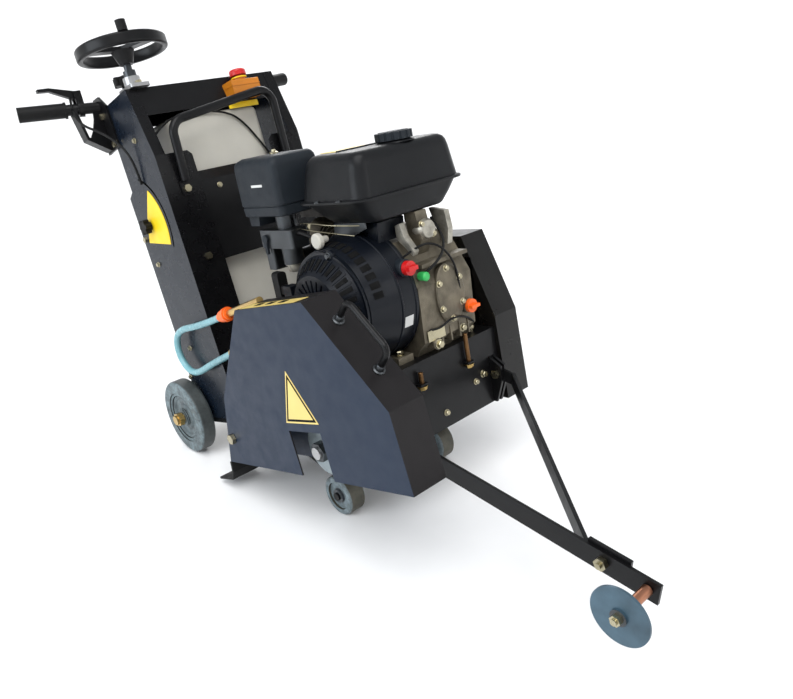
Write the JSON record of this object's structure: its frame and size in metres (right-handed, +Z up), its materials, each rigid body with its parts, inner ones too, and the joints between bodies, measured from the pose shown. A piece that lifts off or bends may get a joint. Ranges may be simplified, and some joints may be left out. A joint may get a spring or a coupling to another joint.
{
  "type": "walk-behind concrete saw",
  "caption": "Walk-behind floor saw with engine, guarded blade arbor, water tank, depth handwheel, side grips, four wheels and a fold-out line pointer.",
  "frame": {"origin": "centre of the machine's outline, on the floor the wheels stand on", "axes": "+X forward along the cut, +Y to the machine's left, +Z up"},
  "size_m": [1.5198, 0.747, 1.0275],
  "materials": {
    "black_paint": "satin black powder coat",
    "guard_paint": "satin blue-grey powder coat",
    "plate_paint": "glossy near-black powder coat",
    "zinc_steel": "zinc plated, slightly yellow",
    "turned_steel": "turned bare steel",
    "cast_alloy": "as-cast, khaki grey",
    "engine_black": "satin navy-black",
    "engine_plastic": "fine grained charcoal",
    "tank_white": "milky off-white polyethylene",
    "wheel_tyre": "dark rubber",
    "tread_polyurethane": "olive-brown tread",
    "grip_rubber": "black rubber",
    "belt_rubber": "wrapped V belt",
    "hose_pvc": "soft translucent teal",
    "orange_plastic": "bright orange",
    "red_plastic": "signal red",
    "yellow_plate": "printed yellow",
    "brass": "plain",
    "disc_steel": "blue-grey plated",
    "muffler_steel": "heat-dulled sheet"
  },
  "bodies": {
    "machine": {"chassis_frame": "black_paint", "side_plate_right": "plate_paint", "side_plate_left": "plate_paint", "front_cross_plate": "black_paint", "console_panel": "black_paint", "lifting_bail": "black_paint", "water_tank": "tank_white", "emergency_stop_box": "orange_plastic", "bearing_block": "zinc_steel", "rear_axle": "turned_steel", "drive_belts": "belt_rubber", "belt_cover": "black_paint", "engine_deck": "black_paint", "engine_crankcase": "cast_alloy", "engine_cylinder": "cast_alloy", "fan_housing": "engine_black", "recoil_cover": "engine_black", "fuel_tank": "engine_black", "air_cleaner": "engine_plastic", "carburettor": "cast_alloy", "muffler": "muffler_steel", "handlebars": "black_paint", "handle_grips": "grip_rubber", "depth_scale": "yellow_plate", "frame_bolts": "zinc_steel"},
    "arbor": {"arbor_shaft": "turned_steel", "outer_flange": "zinc_steel", "arbor_nut": "zinc_steel", "driven_pulley": "turned_steel"},
    "crank": {"crankshaft": "turned_steel", "drive_pulley": "turned_steel"},
    "carriage": {"front_carriage": "black_paint"},
    "front_wheel_right": {"front_wheel_right": "tread_polyurethane"},
    "front_wheel_left": {"front_wheel_left": "tread_polyurethane"},
    "rear_wheel_right": {"rear_wheel_right": "wheel_tyre"},
    "rear_wheel_left": {"rear_wheel_left": "wheel_tyre"},
    "lift_link": {"lift_link": "black_paint"},
    "handwheel": {"depth_handwheel": "black_paint", "lead_screw": "turned_steel"},
    "handwheel_grip": {"handwheel_grip": "grip_rubber"},
    "guard": {"blade_guard": "guard_paint", "guard_handle": "black_paint", "splash_flap": "grip_rubber", "water_hose": "hose_pvc", "hose_coupling": "orange_plastic", "guard_water_pipes": "brass"},
    "pointer": {"pointer_bar": "black_paint", "pointer_brace": "black_paint", "pointer_bolts": "brass"},
    "pointer_disc": {"pointer_disc": "disc_steel"},
    "throttle_lever": {"throttle_lever": "black_paint"},
    "choke_lever": {"choke_lever": "engine_plastic"},
    "fuel_cap": {"fuel_cap": "engine_plastic"},
    "water_tank_cap": {"water_tank_cap": "grip_rubber"},
    "oil_dipstick": {"oil_dipstick": "orange_plastic"},
    "engine_switch": {"engine_switch": "red_plastic"},
    "recoil_grip": {"recoil_grip": "grip_rubber"},
    "depth_scale_knob": {"depth_scale_knob": "grip_rubber"},
    "lock_knob": {"lock_knob": "grip_rubber"},
    "stop_button": {"emergency_stop_button": "red_plastic"}
  },
  "joints": [
    {"name": "crank_spin", "type": "hinge", "parent": "machine", "child": "crank", "pos_m": [0.00653, 0, 0.45072], "axis": [0, -1, 0], "continuous": true},
    {"name": "arbor_spin", "type": "hinge", "parent": "machine", "child": "arbor", "pos_m": [0.0713, 0, 0.2058], "axis": [0, -1, 0], "continuous": true},
    {"name": "depth_swing", "type": "hinge", "parent": "machine", "child": "carriage", "pos_m": [-0.24357, 0, 0.1039], "axis": [0, -1, 0], "range_deg": [-10, 26]},
    {"name": "lift_travel", "type": "slide", "parent": "machine", "child": "lift_link", "axis": [-0.2351, 0, 0.972], "range_m": [-0.065, 0.026]},
    {"name": "handwheel_turn", "type": "hinge", "parent": "machine", "child": "handwheel", "pos_m": [-0.58867, -0.161, 0.96901], "axis": [-0.2351, 0, 0.972], "range_deg": [-3600, 3600]},
    {"name": "handwheel_grip_spin", "type": "hinge", "parent": "handwheel", "child": "handwheel_grip", "pos_m": [-0.50718, -0.18848, 1.01445], "axis": [-0.2351, 0, 0.972], "continuous": true},
    {"name": "front_wheel_right_spin", "type": "hinge", "parent": "carriage", "child": "front_wheel_right", "pos_m": [0.00652, -0.16, 0.04403], "axis": [0, 1, 0], "continuous": true},
    {"name": "front_wheel_left_spin", "type": "hinge", "parent": "carriage", "child": "front_wheel_left", "pos_m": [0.00652, 0.117, 0.04403], "axis": [0, 1, 0], "continuous": true},
    {"name": "rear_wheel_right_spin", "type": "hinge", "parent": "machine", "child": "rear_wheel_right", "pos_m": [-0.53566, -0.221, 0.09497], "axis": [0, 1, 0], "continuous": true},
    {"name": "rear_wheel_left_spin", "type": "hinge", "parent": "machine", "child": "rear_wheel_left", "pos_m": [-0.53566, 0.221, 0.09497], "axis": [0, 1, 0], "continuous": true},
    {"name": "guard_lift", "type": "hinge", "parent": "machine", "child": "guard", "pos_m": [-0.21943, -0.235, 0.15296], "axis": [0, -1, 0], "range_deg": [0, 8]},
    {"name": "pointer_fold", "type": "hinge", "parent": "machine", "child": "pointer", "pos_m": [0.16575, 0, 0.237], "axis": [0, -1, 0], "range_deg": [-9, 75]},
    {"name": "pointer_disc_spin", "type": "hinge", "parent": "pointer", "child": "pointer_disc", "pos_m": [0.71288, -0.232, 0.15669], "axis": [0, 1, 0], "continuous": true},
    {"name": "throttle_swing", "type": "hinge", "parent": "machine", "child": "throttle_lever", "pos_m": [-0.71617, -0.238, 0.88364], "axis": [0.972, 0, 0.2351], "range_deg": [-20, 8]},
    {"name": "choke_swing", "type": "hinge", "parent": "machine", "child": "choke_lever", "pos_m": [-0.19644, -0.122, 0.5658], "axis": [0, -1, 0], "range_deg": [-35, 35]},
    {"name": "fuel_cap_turn", "type": "hinge", "parent": "machine", "child": "fuel_cap", "pos_m": [0.04556, 0.05, 0.75486], "axis": [-0.0958, 0, 0.9954], "range_deg": [0, 90]},
    {"name": "water_cap_turn", "type": "hinge", "parent": "machine", "child": "water_tank_cap", "pos_m": [-0.56483, -0.018, 0.81943], "axis": [-0.2351, 0, 0.972], "range_deg": [0, 360]},
    {"name": "dipstick_turn", "type": "hinge", "parent": "machine", "child": "oil_dipstick", "pos_m": [0.14248, 0.116, 0.40554], "axis": [0.9954, 0, 0.0958], "range_deg": [0, 360]},
    {"name": "engine_switch_turn", "type": "hinge", "parent": "machine", "child": "engine_switch", "pos_m": [0.13724, -0.028, 0.52258], "axis": [0.9954, 0, 0.0958], "range_deg": [0, 90]},
    {"name": "recoil_pull", "type": "slide", "parent": "machine", "child": "recoil_grip", "axis": [-0.9954, 0, -0.0958], "range_m": [0, 0.15], "stiffness_N_per_m": 30, "springref_m": -0.1},
    {"name": "scale_knob_turn", "type": "hinge", "parent": "machine", "child": "depth_scale_knob", "pos_m": [-0.5652, -0.2, 0.57858], "axis": [0, -1, 0], "range_deg": [-180, 180]},
    {"name": "lock_knob_turn", "type": "hinge", "parent": "machine", "child": "lock_knob", "pos_m": [-0.66898, -0.14, 0.90123], "axis": [-0.2351, 0, 0.972], "range_deg": [0, 360]},
    {"name": "stop_button_press", "type": "slide", "parent": "machine", "child": "stop_button", "axis": [-0.2351, 0, 0.972], "range_m": [-0.005, 0], "stiffness_N_per_m": 600}
  ],
  "couplings": [
    {"joint": "arbor_spin", "follows": "crank_spin", "ratio": 0.78049},
    {"joint": "lift_travel", "follows": "depth_swing", "m_per_rad": -0.1375},
    {"joint": "handwheel_turn", "follows": "depth_swing", "ratio": -86.394}
  ]
}
